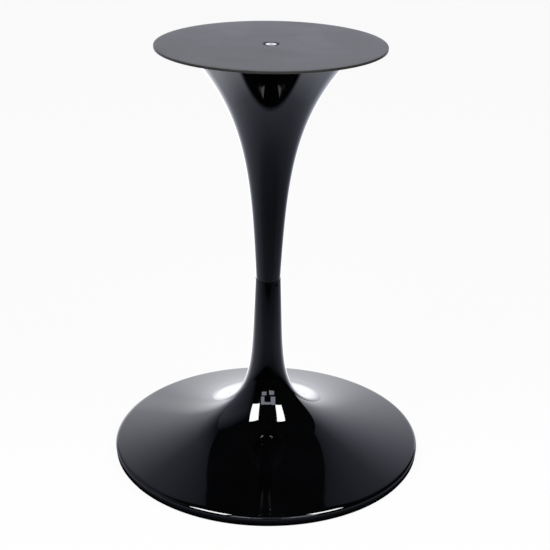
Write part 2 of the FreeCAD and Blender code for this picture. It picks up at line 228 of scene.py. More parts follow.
def make_turned_stretch():
    """Adds one turned surface: a cubic curve of radius and height, carried once round the axis."""
    names = ("Start", "Start Pull", "End Pull", "End")
    tree, given, result = new_stretch_tree("turned_stretch", {name: "NodeSocketVector" for name in names})
    grid, along, around = flat_grid(tree, given)
    poles = [given.outputs[name] for name in names]
    while len(poles) > 1:
        poles = [blend_vectors(tree, along, first, second) for first, second in zip(poles, poles[1:])]
    join_turned(tree, given, result, grid, poles[0], around)
    return tree


def make_threaded_stretch():
    """Adds one rolled thread: a groove that climbs round the axis and runs out at both ends."""
    tree, given, result = new_stretch_tree("threaded_stretch", {
        "Start": "NodeSocketVector",
        "End": "NodeSocketVector",
        "Turns": "NodeSocketFloat",
        "Depth": "NodeSocketFloat",
    })
    grid, along, around = flat_grid(tree, given)
    turns, half = given.outputs["Turns"], 1 / 2
    climb = math_node(tree, "SUBTRACT", math_node(tree, "MULTIPLY", along, turns), around)
    groove = math_node(tree, "PINGPONG", climb, half)
    from_end = math_node(tree, "MULTIPLY", math_node(tree, "PINGPONG", along, half), turns)
    run_out = math_node(tree, "MINIMUM", from_end, THREAD_RUN_OUT)
    depth = math_node(tree, "DIVIDE", given.outputs["Depth"], half)
    cut = math_node(tree, "MULTIPLY", math_node(tree, "MULTIPLY", groove, run_out), depth)
    inward = add_node(tree, "ShaderNodeCombineXYZ", {0: cut}).outputs[0]
    on_line = blend_vectors(tree, along, given.outputs["Start"], given.outputs["End"])
    profile = add_node(tree, "ShaderNodeVectorMath", {0: on_line, 1: inward}, operation="SUBTRACT").outputs[0]
    join_turned(tree, given, result, grid, profile, around)
    return tree


TURNED_STRETCH = make_turned_stretch()
THREADED_STRETCH = make_threaded_stretch()


def set_inputs(modifier, values):
    """Set a tree's inputs by their names, through the sockets' identifiers."""
    sockets = modifier.node_group.interface.items_tree
    names = {socket.name: socket.identifier for socket in sockets if socket.in_out == "INPUT"}
    for name, value in values.items():
        modifier[names[name]] = value


def evaluated_mesh(piece):
    """The piece's mesh with its modifiers worked in, and the modifiers taken off."""
    bpy.context.view_layer.update()
    made = bpy.data.meshes.new_from_object(piece.evaluated_get(bpy.context.evaluated_depsgraph_get()))
    piece.modifiers.clear()
    return made


def close_and_smooth(mesh, name):
    """Weld the stretches into one closed skin that points outwards, smooth except at real corners."""
    skin = bmesh.new()
    skin.from_mesh(mesh)
    bmesh.ops.remove_doubles(skin, verts=skin.verts, dist=WELD * MM)
    bmesh.ops.dissolve_degenerate(skin, edges=skin.edges, dist=SLIVER * MM)
    bmesh.ops.recalc_face_normals(skin, faces=skin.faces)
    skin.to_mesh(mesh)
    skin.free()
    mesh.name = name
    mesh.shade_smooth()
    mesh.set_sharp_from_angle(angle=SHARP_ANGLE)


def new_piece(name):
    piece = bpy.data.objects.new(name, bpy.data.meshes.new(name))
    scene.collection.objects.link(piece)
    return piece


def add_stretch(piece, tree, values):
    modifier = piece.modifiers.new("stretch", "NODES")
    modifier.node_group = tree
    set_inputs(modifier, values)


def add_turned(piece, stretches, facets):
    """Add turned stretches, each given as its four poles, its rows and its finish."""
    for poles, rows, finish in stretches:
        add_stretch(piece, TURNED_STRETCH, {
            "Start": poles[0], "Start Pull": poles[1], "End Pull": poles[2], "End": poles[3],
            "Rows": rows, "Facets": facets, "Finish": finish})


def finish_piece(piece):
    piece.data = evaluated_mesh(piece)
    close_and_smooth(piece.data, piece.name)
    return piece


def turned_piece(name, stretches):
    piece = new_piece(name)
    add_turned(piece, stretches, FACETS)
    return finish_piece(piece)


# Effects that several finishes share
HAZE_STARTS = 0.35
HAZE_IS_FULL = 0.7
DUST_FACES_UP = 0.3


def make_orange_peel():
    """Height of sprayed paint: a fine dimpled skin on a slow sway."""
    tree, given, result = new_tree("orange_peel", "ShaderNodeTree", {
        "Vector": "NodeSocketVector",
        "Dimples": "NodeSocketFloat",
        "Sway": "NodeSocketFloat",
        "Sway Share": "NodeSocketFloat",
    }, {"Height": "NodeSocketFloat"})
    dimples = add_node(tree, "ShaderNodeTexNoise", {
        "Vector": given.outputs["Vector"], "Scale": given.outputs["Dimples"], "Detail": 1.0})
    sway = add_node(tree, "ShaderNodeTexNoise", {
        "Vector": given.outputs["Vector"], "Scale": given.outputs["Sway"], "Detail": 0.0})
    swayed = math_node(tree, "MULTIPLY", sway.outputs[0], given.outputs["Sway Share"])
    tree.links.new(math_node(tree, "ADD", dimples.outputs[0], swayed), result.inputs["Height"])
    return tree


def make_wiped_haze():
    """Where a cloth has left a little haze: long soft smears, from 0 to 1."""
    tree, given, result = new_tree("wiped_haze", "ShaderNodeTree", {
        "Vector": "NodeSocketVector",
        "Smears": "NodeSocketFloat",
    }, {"Haze": "NodeSocketFloat"})
    smears = add_node(tree, "ShaderNodeTexNoise", {
        "Vector": given.outputs["Vector"], "Scale": given.outputs["Smears"], "Detail": 4.0,
        "Distortion": 0.8})
    haze = add_node(tree, "ShaderNodeMapRange", {
        "Value": smears.outputs[0], "From Min": HAZE_STARTS, "From Max": HAZE_IS_FULL})
    tree.links.new(haze.outputs[0], result.inputs["Haze"])
    return tree


def make_settled_dust():
    """Sparse specks of dust on faces that look up, as a mask."""
    tree, given, result = new_tree("settled_dust", "ShaderNodeTree", {
        "Vector": "NodeSocketVector",
        "Cells": "NodeSocketFloat",
        "Speck Size": "NodeSocketFloat",
        "Share": "NodeSocketFloat",
    }, {"Specks": "NodeSocketFloat"})
    cells = add_node(tree, "ShaderNodeTexVoronoi", {
        "Vector": given.outputs["Vector"], "Scale": given.outputs["Cells"]})
    near = math_node(tree, "LESS_THAN", cells.outputs["Distance"], given.outputs["Speck Size"])
    chance = add_node(tree, "ShaderNodeSeparateColor", {0: cells.outputs["Color"]})
    chosen = math_node(tree, "LESS_THAN", chance.outputs[0], given.outputs["Share"])
    facing = apart(tree, add_node(tree, "ShaderNodeNewGeometry").outputs["Normal"])
    upward = math_node(tree, "GREATER_THAN", facing[2], DUST_FACES_UP)
    specks = math_node(tree, "MULTIPLY", math_node(tree, "MULTIPLY", near, chosen), upward)
    tree.links.new(specks, result.inputs["Specks"])
    return tree


def make_lathe_marks():
    """Height of the fine rings that a lathe leaves round the axis, broken by a little grain."""
    tree, given, result = new_tree("lathe_marks", "ShaderNodeTree", {
        "Vector": "NodeSocketVector",
        "Rings": "NodeSocketFloat",
    }, {"Height": "NodeSocketFloat"})
    rings = add_node(tree, "ShaderNodeTexWave", {
        "Vector": given.outputs["Vector"], "Scale": given.outputs["Rings"], "Distortion": 1.5, "Detail": 2.0},
        wave_type="RINGS", rings_direction="Z")
    tree.links.new(rings.outputs["Fac"], result.inputs["Height"])
    return tree


ORANGE_PEEL = make_orange_peel()
WIPED_HAZE = make_wiped_haze()
SETTLED_DUST = make_settled_dust()
LATHE_MARKS = make_lathe_marks()


# Finishes: two colours, clean and hazed, the roughness of each, and a skin with its depth in metres
PAINT_IOR = 1.5
DUST = {"Cells": 140.0, "Speck Size": 0.06, "Share": 0.012}
DUST_COLOUR = (0.30, 0.30, 0.29, 1)
DUST_DULLNESS = 0.5
LACQUER_COLOURS = ((0.0005, 0.0006, 0.0008, 1), (0.0012, 0.0013, 0.0017, 1))
LACQUER_POLISH = (0.03, 0.05)
LACQUER_PEEL = {"Dimples": 420.0, "Sway": 22.0, "Sway Share": 20.0}
LACQUER_PEEL_DEPTH = 0.000002
FOOT_SMEARS = 8.0
TRUMPET_SMEARS = 11.0
PLATE_COLOURS = ((0.022, 0.020, 0.018, 1), (0.029, 0.027, 0.024, 1))
PLATE_SMEARS = 9.0
PLATE_SATIN = (0.36, 0.42)
PLATE_TOOTH = {"Dimples": 1500.0, "Sway": 60.0, "Sway Share": 2.0}
PLATE_TOOTH_DEPTH = 0.000012
PLATE_IOR = 1.46
PRIMER_COLOURS = ((0.030, 0.030, 0.032, 1), (0.060, 0.060, 0.062, 1))
PRIMER_SMEARS = 14.0
PRIMER_MATT = (0.6, 0.8)
PRIMER_SAND = {"Dimples": 700.0, "Sway": 90.0, "Sway Share": 1.5}
PRIMER_SAND_DEPTH = 0.00025
RUBBER_COLOURS = ((0.010, 0.010, 0.010, 1), (0.018, 0.018, 0.018, 1))
RUBBER_SMEARS = 40.0
RUBBER_MATT = (0.65, 0.85)
RUBBER_SKIN = {"Dimples": 2600.0, "Sway": 150.0, "Sway Share": 1.0}
RUBBER_SKIN_DEPTH = 0.00003
METAL_SMEARS = 160.0
METAL_MARK_DEPTH = 0.000004
ZINC_COLOURS = ((0.88, 0.89, 0.90, 1), (0.74, 0.75, 0.77, 1))
ZINC_POLISH = (0.12, 0.26)
ZINC_RINGS = 500.0
OXIDE_COLOURS = ((0.008, 0.008, 0.009, 1), (0.024, 0.024, 0.025, 1))
OXIDE_POLISH = (0.30, 0.45)
OXIDE_RINGS = 900.0
STEEL_COLOURS = ((0.52, 0.52, 0.53, 1), (0.38, 0.37, 0.37, 1))
STEEL_POLISH = (0.30, 0.50)
STEEL_RINGS = 300.0


def new_finish(name):
    """An empty finish: its tree, its shader and the object's own coordinates."""
    finish = bpy.data.materials.new(name)
    finish.use_nodes = True
    tree = finish.node_tree
    shader = tree.nodes["Principled BSDF"]
    coordinates = tree.nodes.new("ShaderNodeTexCoord").outputs["Object"]
    return finish, tree, shader, coordinates


def grouped(tree, group, inputs):
    """A shared effect at work in a finish."""
    return add_node(tree, "ShaderNodeGroup", inputs, node_tree=group).outputs[0]


def blend_colours(tree, share, first, second):
    node = add_node(tree, "ShaderNodeMix", {0: share, 6: first, 7: second}, data_type="RGBA")
    return node.outputs[2]


def spread(tree, value, low, high):
    """A value from 0 to 1, spread between two numbers."""
    return add_node(tree, "ShaderNodeMapRange", {"Value": value, "To Min": low, "To Max": high}).outputs[0]


def bump(tree, shader, height, depth):
    """Raise the surface by a height of 0 to 1, times a depth in metres."""
    node = add_node(tree, "ShaderNodeBump", {"Height": height, "Distance": depth, "Strength": 1.0})
    tree.links.new(node.outputs["Normal"], shader.inputs["Normal"])


def make_lacquer(name, smears):
    """Gloss black lacquer with a faint orange peel, wiped haze and a few specks of dust."""
    finish, tree, shader, coordinates = new_finish(name)
    haze = grouped(tree, WIPED_HAZE, {"Vector": coordinates, "Smears": smears})
    specks = grouped(tree, SETTLED_DUST, {"Vector": coordinates, **DUST})
    colour = blend_colours(tree, haze, *LACQUER_COLOURS)
    tree.links.new(blend_colours(tree, specks, colour, DUST_COLOUR), shader.inputs["Base Color"])
    dulled = math_node(tree, "MULTIPLY", specks, DUST_DULLNESS)
    roughness = math_node(tree, "ADD", dulled, spread(tree, haze, *LACQUER_POLISH))
    tree.links.new(roughness, shader.inputs["Roughness"])
    bump(tree, shader, grouped(tree, ORANGE_PEEL, {"Vector": coordinates, **LACQUER_PEEL}), LACQUER_PEEL_DEPTH)
    shader.inputs["IOR"].default_value = PAINT_IOR
    return finish


def make_coat(name, colours, smears, roughness, skin, depth, ior=PAINT_IOR):
    """A duller coat without dust: cloudy where it is hazed, with a skin of fine dimples."""
    finish, tree, shader, coordinates = new_finish(name)
    haze = grouped(tree, WIPED_HAZE, {"Vector": coordinates, "Smears": smears})
    tree.links.new(blend_colours(tree, haze, *colours), shader.inputs["Base Color"])
    tree.links.new(spread(tree, haze, *roughness), shader.inputs["Roughness"])
    bump(tree, shader, grouped(tree, ORANGE_PEEL, {"Vector": coordinates, **skin}), depth)
    shader.inputs["IOR"].default_value = ior
    return finish


def make_metal(name, colours, roughness, rings):
    """Bare or plated metal: cloudy plating over the rings that turning left."""
    finish, tree, shader, coordinates = new_finish(name)
    haze = grouped(tree, WIPED_HAZE, {"Vector": coordinates, "Smears": METAL_SMEARS})
    tree.links.new(blend_colours(tree, haze, *colours), shader.inputs["Base Color"])
    tree.links.new(spread(tree, haze, *roughness), shader.inputs["Roughness"])
    marks = grouped(tree, LATHE_MARKS, {"Vector": coordinates, "Rings": rings})
    bump(tree, shader, marks, METAL_MARK_DEPTH)
    shader.inputs["Metallic"].default_value = 1.0
    return finish


# Lacquer outside, satin paint on the plate, primer on the rough casting, moulded rubber, and metal
foot_lacquer = make_lacquer("foot_lacquer", FOOT_SMEARS)
trumpet_lacquer = make_lacquer("trumpet_lacquer", TRUMPET_SMEARS)
plate_paint = make_coat("plate_paint", PLATE_COLOURS, PLATE_SMEARS, PLATE_SATIN, PLATE_TOOTH,
                        PLATE_TOOTH_DEPTH, PLATE_IOR)
cast_primer = make_coat("cast_primer", PRIMER_COLOURS, PRIMER_SMEARS, PRIMER_MATT, PRIMER_SAND,
                        PRIMER_SAND_DEPTH)
ring_rubber = make_coat("ring_rubber", RUBBER_COLOURS, RUBBER_SMEARS, RUBBER_MATT, RUBBER_SKIN,
                        RUBBER_SKIN_DEPTH)
bright_zinc = make_metal("bright_zinc", ZINC_COLOURS, ZINC_POLISH, ZINC_RINGS)
black_steel = make_metal("black_steel", OXIDE_COLOURS, OXIDE_POLISH, OXIDE_RINGS)
plain_steel = make_metal("plain_steel", STEEL_COLOURS, STEEL_POLISH, STEEL_RINGS)


# Foot
def through(corners, finish):
    """Straight stretches through a row of corners."""
    return [(straight(start, end), LINE_ROWS, finish) for start, end in zip(corners, corners[1:])]


def make_foot():
    flare_start = SEAM_HEIGHT - NECK_LENGTH
    flare_radius = foot_neck_radius(flare_start)
    web_top = flare_start + WEB_THICKNESS
    socket_floor = SEAM_HEIGHT - SOCKET_DEPTH
    toe_radius = RIM_RADIUS - RIM_TUCK
    inside_radius = toe_radius - RIM_WIDTH
    ring_radius = toe_radius - RIM_WIDTH / 2
    groove_half = RIB_WIDTH / 2 + RIB_GAP
    groove_top = RING_HEIGHT + RIB_HEIGHT + RIB_GAP
    cavity_edge = (RIM_HEIGHT + (RIM_RADIUS - inside_radius) * math.tan(RIM_SLOPE)
                   - FOOT_WALL / math.cos(RIM_SLOPE))
    seam, flare = spot(FOOT_NECK_RADIUS, SEAM_HEIGHT), spot(flare_radius, flare_start)
    rim, toe = spot(RIM_RADIUS, RIM_HEIGHT), spot(toe_radius, RING_HEIGHT)
    down = spot(flare_radius + math.tan(NECK_TAPER) * NECK_PULL, flare_start - NECK_PULL)
    inward = spot(RIM_RADIUS - RIM_PULL * math.cos(RIM_SLOPE), RIM_HEIGHT + RIM_PULL * math.sin(RIM_SLOPE))
    down_inside = down - spot(FOOT_WALL, BEND_SHARE * FOOT_WALL)
    inward_inside = inward - spot(BEND_SHARE * FOOT_WALL, FOOT_WALL)
    rim_arc = rounded(inward, rim, toe, RIM_ROUND)
    rim_share = 1 - (rim_arc[0] - rim).length / (3 * (inward - rim).length)
    flare_curve = shortened((flare, down, inward, rim), rim_share)
    rim_arc = (flare_curve[3],) + rim_arc[1:]
    groove_mouth_out = spot(ring_radius + groove_half, RING_HEIGHT)
    toe_arc = rounded(rim, toe, groove_mouth_out, RIM_TOE_ROUND)
    cavity, throat = spot(inside_radius, cavity_edge), spot(flare_radius - FOOT_WALL, flare_start)
    under_rim = [
        toe_arc[3],
        groove_mouth_out,
        spot(ring_radius + groove_half, groove_top),
        spot(ring_radius - groove_half, groove_top),
        spot(ring_radius - groove_half, RING_HEIGHT),
        spot(inside_radius, RING_HEIGHT),
        cavity,
    ]
    web_and_socket = [
        throat,
        spot(ROD_HOLE_RADIUS, flare_start),
        spot(ROD_HOLE_RADIUS, web_top),
        spot(foot_neck_radius(web_top) - FOOT_WALL, web_top),
        spot(foot_neck_radius(socket_floor) - FOOT_WALL, socket_floor),
        spot(SOCKET_RADIUS, socket_floor),
        spot(SOCKET_RADIUS, SEAM_HEIGHT),
    ]
    return turned_piece("foot_shell", [
        (straight(seam, flare), NECK_ROWS, foot_lacquer),
        (flare_curve, CURVE_ROWS, foot_lacquer),
        (rim_arc, ROUND_ROWS, foot_lacquer),
        (straight(rim_arc[3], toe_arc[0]), LINE_ROWS, foot_lacquer),
        (toe_arc, ROUND_ROWS, foot_lacquer),
        *through(under_rim, cast_primer),
        ((cavity, inward_inside, down_inside, throat), INSIDE_ROWS, cast_primer),
        *through(web_and_socket, cast_primer),
        (straight(web_and_socket[-1], seam), LINE_ROWS, foot_lacquer),
    ])


def bore_screw_hole(foot):
    """Drill the grub screw's hole through the front wall of the foot's neck."""
    drill = bmesh.new()
    height = SEAM_HEIGHT - SCREW_HOLE_DROP
    place = (Matrix.Translation((0, 0, height * MM)) @ Matrix.Rotation(SCREW_HOLE_TURN, 4, "Z")
             @ Matrix.Rotation(math.pi / 2, 4, "X") @ Matrix.Translation((0, 0, FOOT_NECK_RADIUS * MM)))
    bmesh.ops.create_cone(drill, cap_ends=True, segments=DRILL_FACETS, radius1=SCREW_HOLE_RADIUS * MM,
                          radius2=SCREW_HOLE_RADIUS * MM, depth=FOOT_NECK_RADIUS * MM, matrix=place)
    cutter = new_piece("screw_drill")
    drill.to_mesh(cutter.data)
    drill.free()
    cutter.data.materials.append(foot_lacquer)
    boolean = foot.modifiers.new("screw_hole", "BOOLEAN")
    boolean.object = cutter
    boolean.operation = "DIFFERENCE"
    foot.data = evaluated_mesh(foot)
    foot.data.name = foot.name
    foot.data.set_sharp_from_angle(angle=SHARP_ANGLE)
    bpy.data.objects.remove(cutter)


def make_floor_ring():
    ring_radius = RIM_RADIUS - RIM_TUCK - RIM_WIDTH / 2
    inside, outside = ring_radius - RING_WIDTH / 2, ring_radius + RING_WIDTH / 2
    rib_in, rib_out = ring_radius - RIB_WIDTH / 2, ring_radius + RIB_WIDTH / 2
    rib_top = RING_HEIGHT + RIB_HEIGHT
    corners = [
        spot(inside, 0),
        spot(outside, 0),
        spot(outside, RING_HEIGHT),
        spot(rib_out, RING_HEIGHT),
        spot(rib_out, rib_top),
        spot(rib_in, rib_top),
        spot(rib_in, RING_HEIGHT),
        spot(inside, RING_HEIGHT),
    ]
    arcs = [rounded(corners[place - 1], corner, corners[(place + 1) % len(corners)], RING_ROUND)
            for place, corner in enumerate(corners)]
    stretches = []
    for arc, following in zip(arcs, arcs[1:] + arcs[:1]):
        stretches.append((arc, RING_ROWS, ring_rubber))
        stretches.append((straight(arc[3], following[0]), LINE_ROWS, ring_rubber))
    return turned_piece("floor_ring_rubber", stretches)


# Upper trumpet
def make_trumpet():
    plate_underside = TOP_HEIGHT - PLATE_THICKNESS
    seam = spot(TRUMPET_NECK_RADIUS, SEAM_HEIGHT)
    mouth = spot(MOUTH_RADIUS, plate_underside)
    mouth_inside = spot(MOUTH_RADIUS - TRUMPET_WALL / math.cos(MOUTH_FLARE), plate_underside)
    seam_inside = spot(TRUMPET_NECK_RADIUS - TRUMPET_WALL, SEAM_HEIGHT)
    up = spot(TRUMPET_NECK_RADIUS + math.tan(TRUMPET_TAPER) * TRUMPET_PULL, SEAM_HEIGHT + TRUMPET_PULL)
    back = mouth - spot(MOUTH_PULL * math.sin(MOUTH_FLARE), MOUTH_PULL * math.cos(MOUTH_FLARE))
    up_inside = up - spot(TRUMPET_WALL, 0)
    back_inside = back + spot(-TRUMPET_WALL * math.cos(MOUTH_FLARE), TRUMPET_WALL * math.sin(MOUTH_FLARE))
    return turned_piece("trumpet_shell", [
        ((seam, up, back, mouth), CURVE_ROWS, trumpet_lacquer),
        (straight(mouth, mouth_inside), LINE_ROWS, trumpet_lacquer),
        ((mouth_inside, back_inside, up_inside, seam_inside), INSIDE_ROWS, cast_primer),
        (straight(seam_inside, seam), LINE_ROWS, trumpet_lacquer),
    ])


# Tie rod
def make_tie_rod():
    """A plain rod with a bevel and a rolled thread at each end."""
    rod = new_piece("tie_rod_threaded")
    ends = ((ROD_END, 1), (ROD_TOP, -1))
    roots = []
    for end, inward in ends:
        crest = end + inward * ROD_CHAMFER
        root = crest + inward * THREAD_LENGTH
        bevel = [spot(0, end), spot(ROD_RADIUS - ROD_CHAMFER, end), spot(ROD_RADIUS, crest)]
        add_turned(rod, through(bevel, bright_zinc), THREAD_FACETS)
        turns = THREAD_LENGTH / THREAD_PITCH
        add_stretch(rod, THREADED_STRETCH, {
            "Start": spot(ROD_RADIUS, crest), "End": spot(ROD_RADIUS, root), "Turns": turns,
            "Depth": THREAD_DEPTH * MM, "Rows": int(turns * THREAD_ROWS) + 1, "Facets": THREAD_FACETS,
            "Finish": bright_zinc})
        roots.append(spot(ROD_RADIUS, root))
    add_turned(rod, through(roots, bright_zinc), THREAD_FACETS)
    return finish_piece(rod)


# Top plate
def make_plate():
    underside = TOP_HEIGHT - PLATE_THICKNESS
    dimple_floor = TOP_HEIGHT - DIMPLE_DEPTH
    dimple_underside = dimple_floor - PLATE_THICKNESS
    hole_lower, hole_upper = spot(SLEEVE_HOLE_RADIUS, dimple_underside), spot(SLEEVE_HOLE_RADIUS, dimple_floor)
    dimple_lower = spot(DIMPLE_FLOOR_RADIUS, dimple_underside)
    dimple_root = spot(DIMPLE_RADIUS, underside)
    edge_lower, edge_upper = spot(PLATE_RADIUS, underside), spot(PLATE_RADIUS, TOP_HEIGHT)
    dimple_edge, dimple_corner = spot(DIMPLE_RADIUS, TOP_HEIGHT), spot(DIMPLE_FLOOR_RADIUS, dimple_floor)
    lower_arc = rounded(dimple_root, edge_lower, edge_upper, PLATE_EDGE_ROUND)
    upper_arc = rounded(edge_lower, edge_upper, dimple_edge, PLATE_EDGE_ROUND)
    lip_arc = rounded(edge_upper, dimple_edge, dimple_corner, DIMPLE_ROUND)
    floor_arc = rounded(dimple_edge, dimple_corner, hole_upper, DIMPLE_ROUND)
    return turned_piece("plate_disc", [
        *through([hole_upper, hole_lower, dimple_lower, dimple_root], plate_paint),
        (straight(dimple_root, lower_arc[0]), FACE_ROWS, plate_paint),
        (lower_arc, ROUND_ROWS, plate_paint),
        (straight(lower_arc[3], upper_arc[0]), LINE_ROWS, plate_paint),
        (upper_arc, ROUND_ROWS, plate_paint),
        (straight(upper_arc[3], lip_arc[0]), FACE_ROWS, plate_paint),
        (lip_arc, ROUND_ROWS, plate_paint),
        (straight(lip_arc[3], floor_arc[0]), LINE_ROWS, plate_paint),
        (floor_arc, ROUND_ROWS, plate_paint),
        (straight(floor_arc[3], hole_upper), LINE_ROWS, plate_paint),
    ])


foot = make_foot()
bore_screw_hole(foot)
STANDS_FOR = (
    (foot, "foot", "foot_lacquer"),
    (make_trumpet(), "upper_trumpet", "trumpet_lacquer"),
    (make_plate(), "top_plate", "plate_paint"),
    (make_floor_ring(), "floor_ring", "ring_rubber"),
    (make_tie_rod(), "tie_rod", "bright_zinc"),
)
for piece, node, slot in STANDS_FOR:
    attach(piece, "root")
    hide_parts(node)

# Finishes of the pieces that stay as they were machined
MACHINED = {
    "sleeve_nut": bright_zinc,
    "clamp_washer": bright_zinc,
    "spring_washer": bright_zinc,
    "clamp_nut": bright_zinc,
    "grub_screw": black_steel,
    "neck_spigot": plain_steel,
    "mouth_bridge": plain_steel,
}
for node, finish in MACHINED.items():
    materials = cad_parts[node].data.materials
    materials.clear()
    materials.append(finish)


# Studio, as the gloss in the photograph shows it: white paper that ends before the viewer, a bright backdrop,
# a grey wall on the left, two softboxes, a barred window behind the viewer, and a dark room
WHITE = (1, 1, 1, 1)
PAPER_WHITE = 1.0
PAPER_COLOUR = (0.8, 0.8, 0.8, 1)
PAPER_ROUGHNESS = 0.9
PAPER_HALF = 8.0
SHADOW_SHARE = 0.07
PAPER_FAR = 0.955
# The studio's white, bluish where it is dim and neutral where it is bright
DIM_TINT = (0.70, 0.75, 1.0, 1)
BRIGHT_TINT = (0.93, 0.945, 1.0, 1)
BRIGHT_LEVEL = 1.8
ROOM_DARK = 0.01
FILL_LIGHT = 0.35
# How bright the paper is in the gloss: along y, at its front end, to the sides along x, and out from the rim,
# where a painted shadow darkens it close to the foot
PAPER_DEPTH = ((-0.9, 0.04), (-0.7, 0.18), (-0.55, 0.24), (-0.33, 0.52), (0.0, 0.8), (0.55, 1.1), (1.0, 2.0),
               (3.0, 2.15))
PAPER_FRONT = ((-0.88, 0.0), (-0.80, 1.0))
PAPER_SIDES = ((-1.4, 0.4), (-0.5, 1.0), (0.1, 1.0), (1.2, 0.0))
# Painted shadow round the rim: the paper in the gloss is black at 262 mm from the axis and fully bright at 300
# mm
PAPER_RIM_SHADOW = ((0.262, 0.0), (0.30, 1.0))
# What is left of the paper's brightness in a second mirror as far off as the plate
PAPER_TWICE = 0.2
PAPER_TWICE_FROM = 0.65
# The pool of light on the paper behind the foot: its middle, and its brightness by distance from there
POOL_PLACE = (0, 0.42, 0)
POOL_GLOW = ((0.0, 1.9), (0.25, 1.5), (0.6, 0.0))
# The sheen of two lamps along the paper: by bearing, which is x over y, and by depth along y
SHEEN_BEARING = ((-0.5, 0.0), (-0.36, 0.8), (-0.27, 1.3), (-0.15, 0.0), (0.1, 0.0), (0.2, 0.8),
                 (0.34, 0.0))
SHEEN_DEPTH = ((0.4, 0.0), (0.7, 1.0))
# How bright the backdrop and the wall are: up along z, in from the left along x, and along y
BACKDROP_PLACE = 3.0
BACKDROP_HEIGHT = ((0.0, 2.15), (0.25, 1.95), (0.65, 1.5), (1.65, 1.08), (2.4, 0.7), (3.05, 0.38),
                   (4.35, 0.16))
BACKDROP_LEFT = ((-2.8, 0.3), (-1.8, 1.15), (-1.2, 1.15), (-0.8, 1.0))
BACKDROP_SPOT_PLACE = (-1.35, 3.0, 0.5)
BACKDROP_SPOT_GLOW = ((0.0, 1.1), (0.3, 0.8), (0.6, 0.0))
WALL_PLACE = -2.8
WALL_DEPTH = ((-2.0, 0.0), (-0.4, 0.3), (3.0, 0.55))
WALL_HEIGHT = ((2.5, 1.0), (4.35, 0.0))
SETTING_HEIGHT = 4.35
# Corners of the lights as the front of the foot sees them: azimuth from the viewer towards +X, and elevation
LIGHTS_SEEN_FROM = Vector((0, -0.055, 0.09))
SOFTBOX_DISTANCE = 2.0
SOFTBOX_GLOW = 25.0
# What is left of a softbox in a second mirror, up along z: a low band, and a faint one above it
SOFTBOX_TWICE = ((1.515, 0.0), (1.53, 25.0), (1.61, 25.0), (1.65, 0.0), (1.685, 0.0), (1.69, 1.8),
                 (1.715, 1.8), (1.72, 0.0))
SOFTBOXES = {
    "softbox_left": ((-59, 34), (-30, 36), (-40, 66), (-77, 62)),
    "softbox_right": ((37, 38), (61, 35), (80, 59), (53, 67)),
}
WINDOW_DISTANCE = 2.5
WINDOW_GLOW = 4.5
WINDOW_TINT = (0.84, 0.87, 1.0, 1)
WINDOW_PANES = {
    "pane_low_left": ((-24, 16), (-2, 16), (-2, 22), (-23, 22)),
    "pane_low_right": ((11, 14), (35, 14), (34, 20), (11, 21)),
    "pane_left": ((-26, 24), (-11, 24), (-10, 39), (-24, 39)),
    "pane_right": ((18, 24), (38, 23), (36, 38), (17, 39)),
    "pane_bar": ((-10, 34), (17, 34), (17, 38), (-10, 39)),
}
# A grey screen round the plate, which keeps the lights in front from the satin paint seen from behind, and
# glows faintly to paint a soft sheen on the plate
SCREEN_RADIUS = 250
SCREEN_FOOT = 700
SCREEN_TOP = 1350
SCREEN_REACH = 0.62
SCREEN_BACK = 0.12
SCREEN_GLOW = 0.3
# Plain soft lamps in line with the softboxes
LAMP_WIDTH = 0.95
LAMP_HEIGHT = 1.3
LAMP_POWER = 20
LAMP_AIM = Vector((0, 0, 0.3))


def graded(tree, value, stops):
    """Brightness read off a row of stops, each a place and the level there."""
    first, last = stops[0][0], stops[-1][0]
    peak = max(level for place, level in stops)
    share = add_node(tree, "ShaderNodeMapRange", {"Value": value, "From Min": first, "From Max": last})
    ramp = add_node(tree, "ShaderNodeValToRGB", {0: share.outputs[0]})
    row = ramp.color_ramp.elements
    row.remove(row[-1])
    for place, level in stops:
        stop = row[0] if place == first else row.new((place - first) / (last - first))
        stop.color = (level / peak, level / peak, level / peak, 1)
    return math_node(tree, "MULTIPLY", ramp.outputs[0], peak)


def distance(tree, coordinates, place):
    node = add_node(tree, "ShaderNodeVectorMath", {0: coordinates, 1: place}, operation="DISTANCE")
    return node.outputs["Value"]


def tinted(tree, level):
    """The colour of the studio's white at a level of brightness."""
    share = math_node(tree, "DIVIDE", level, BRIGHT_LEVEL)
    return blend_colours(tree, share, DIM_TINT, BRIGHT_TINT)


def new_glow(name):
    """A glow that the gloss mirrors: its material, its tree, its shader and the place of each point."""
    material = bpy.data.materials.new(name)
    material.use_nodes = True
    tree = material.node_tree
    tree.nodes.clear()
    glow = tree.nodes.new("ShaderNodeEmission")
    output = tree.nodes.new("ShaderNodeOutputMaterial")
    tree.links.new(glow.outputs[0], output.inputs["Surface"])
    return material, tree, glow, tree.nodes.new("ShaderNodeTexCoord").outputs["Object"]


def shine(tree, glow, level):
    """Let a glow shine at a level, in the studio's white."""
    tree.links.new(level, glow.inputs["Strength"])
    tree.links.new(tinted(tree, level), glow.inputs["Color"])


def mirrored_twice(tree):
    """One for what a mirror sees in another mirror, and zero for the rest."""
    rays = tree.nodes.new("ShaderNodeLightPath")
    return math_node(tree, "GREATER_THAN", rays.outputs["Glossy Depth"], 1)


def shine_by_mirror(tree, glow, once, twice):
    """Let a glow shine at one level in a mirror, and at another in a second mirror."""
    level = add_node(tree, "ShaderNodeMix", {0: mirrored_twice(tree), 2: once, 3: twice})
    tree.links.new(level.outputs[0], glow.inputs["Strength"])


def make_softbox_glow():
    """Even white, of which only low bands are left in a second mirror."""
    material, tree, glow, coordinates = new_glow("softbox_glow")
    glow.inputs["Color"].default_value = WHITE
    shine_by_mirror(tree, glow, SOFTBOX_GLOW, graded(tree, apart(tree, coordinates)[2], SOFTBOX_TWICE))
    return material


